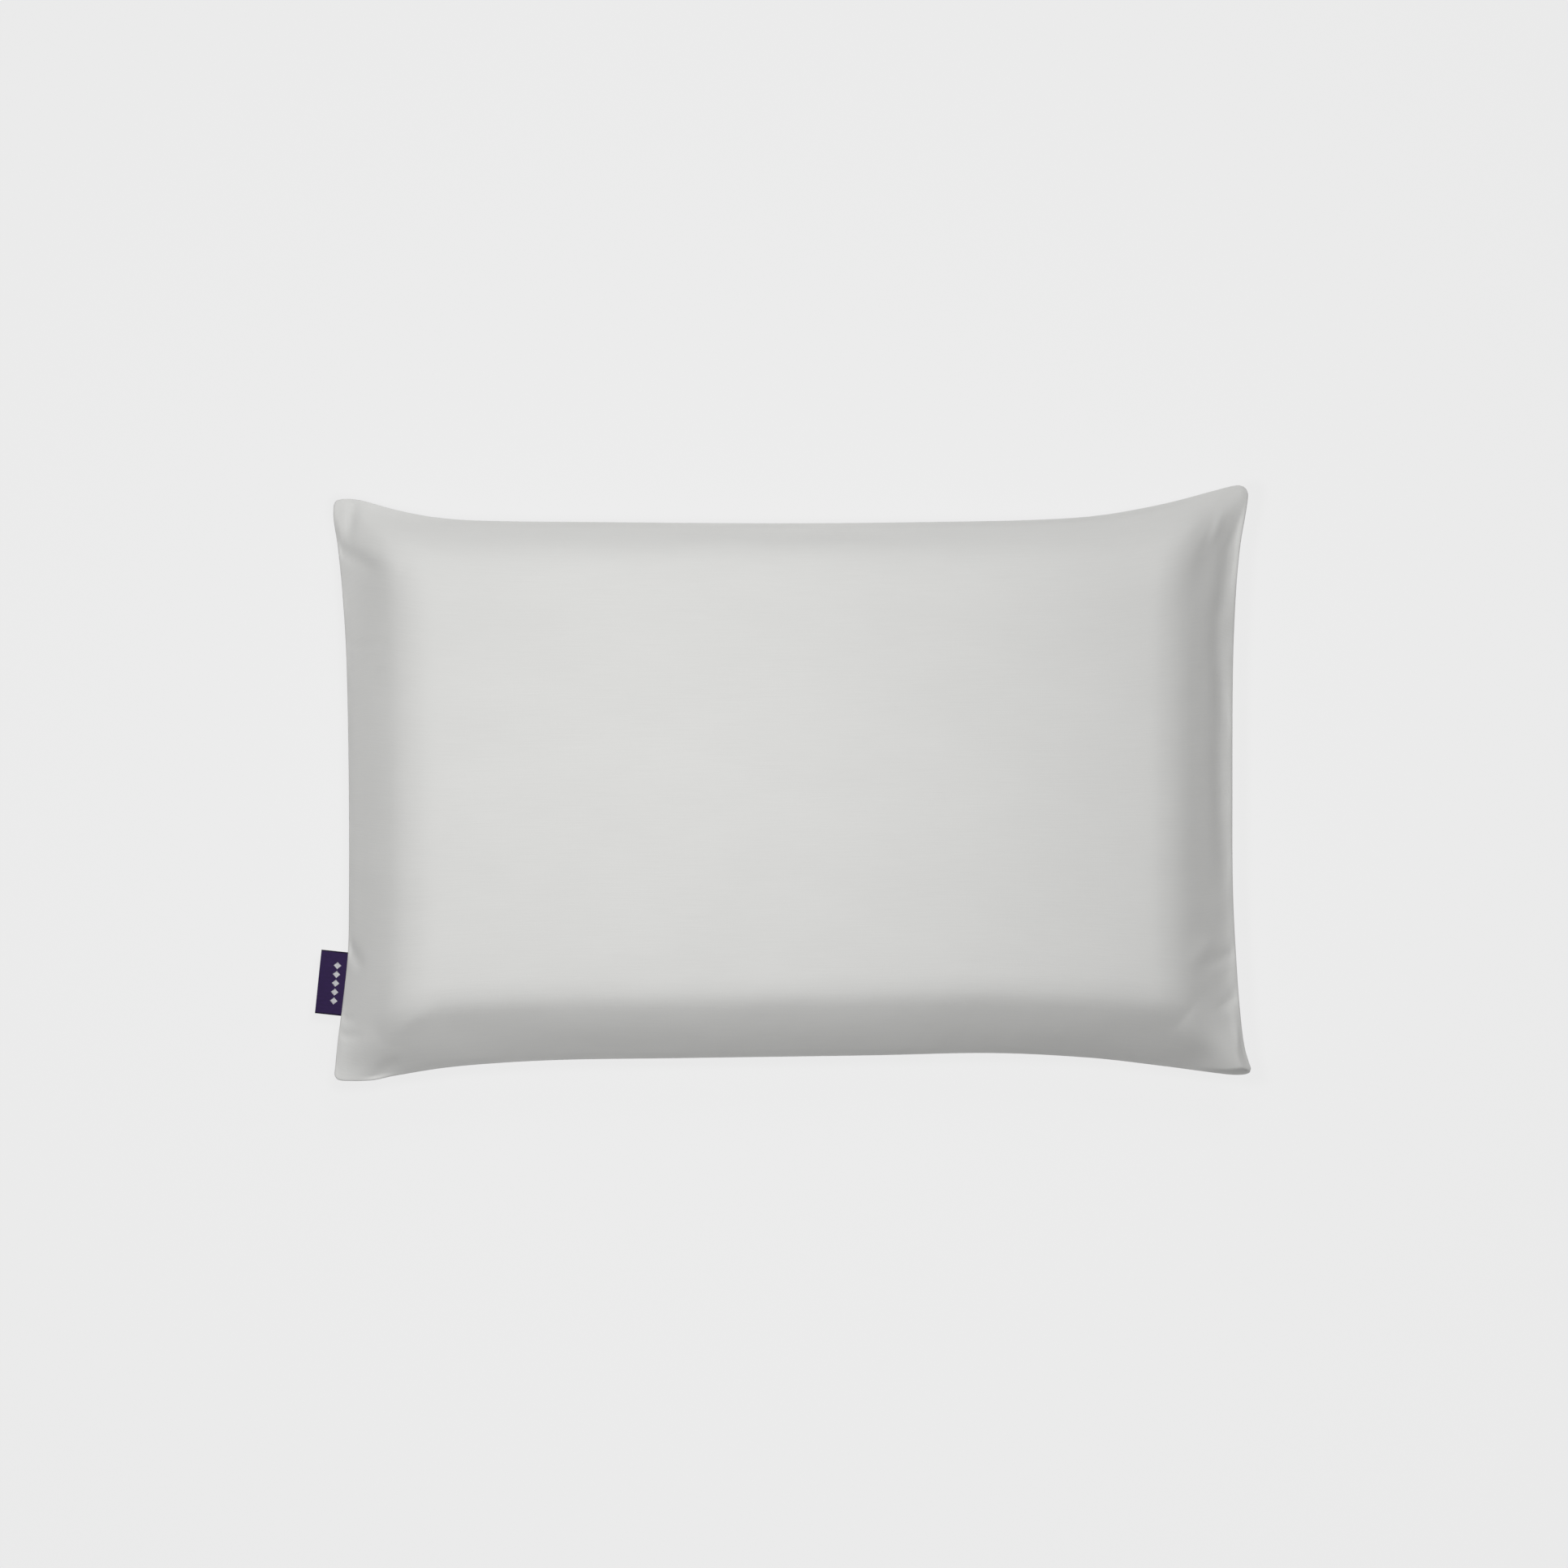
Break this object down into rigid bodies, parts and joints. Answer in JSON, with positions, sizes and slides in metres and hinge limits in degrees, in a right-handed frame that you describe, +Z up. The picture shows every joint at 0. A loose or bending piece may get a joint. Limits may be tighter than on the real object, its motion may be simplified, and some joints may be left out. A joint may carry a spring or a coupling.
{
  "type": "bed pillow",
  "caption": "Small rectangular bed pillow: foam core in a zipped knitted liner, inside a plain light grey envelope pillowcase with drawn-out corners and a folded side label.",
  "frame": {"origin": "middle of the flat back face that the pillow lies on", "axes": "+Z up out of the front face, +X along the long sides, +Y across them towards the liner's zip"},
  "size_m": [0.5271, 0.3328, 0.058],
  "materials": {
    "case_cloth": "satin",
    "case_thread": "matte",
    "label_ribbon": "satin",
    "label_weave": "satin",
    "liner_knit": "matte",
    "liner_thread": "matte",
    "care_ribbon": "satin",
    "zip_tape": "matte",
    "zip_coil": "satin",
    "zip_metal": "satin",
    "foam": "matte"
  },
  "bodies": {
    "pillow": {"case_front": "case_cloth", "case_back_upper": "case_cloth", "case_back_lower": "case_cloth", "case_seam_thread": "case_thread", "hem_thread_upper": "case_thread", "hem_thread_lower": "case_thread", "liner_top": "liner_knit", "liner_bottom": "liner_knit", "liner_seam_thread": "liner_thread", "liner_care_label": "care_ribbon", "zip_tape_upper": "zip_tape", "zip_tape_lower": "zip_tape", "zip_seam_thread": "liner_thread", "zip_coil_upper": "zip_coil", "zip_coil_lower": "zip_coil", "zip_top_stops": "zip_metal", "zip_bottom_stop": "zip_metal", "foam_core": "foam"},
    "label": {"side_label": "label_ribbon", "label_motif": "label_weave"},
    "slider": {"zip_slider": "zip_metal"},
    "pull": {"zip_pull": "zip_metal"}
  },
  "joints": [
    {"name": "label_flex", "type": "hinge", "parent": "pillow", "child": "label", "pos_m": [-0.25235, -0.108, 0.029], "axis": [0.1045, 0.9945, 0], "range_deg": [-80, 80], "stiffness_Nm_per_rad": 0.0003},
    {"name": "zip_travel", "type": "slide", "parent": "pillow", "child": "slider", "axis": [-1, 0, 0], "range_m": [0, 0.38]},
    {"name": "pull_swing", "type": "hinge", "parent": "slider", "child": "pull", "pos_m": [0.19, 0.1415, 0.029], "axis": [0, 0, 1], "range_deg": [0, 20]}
  ]
}
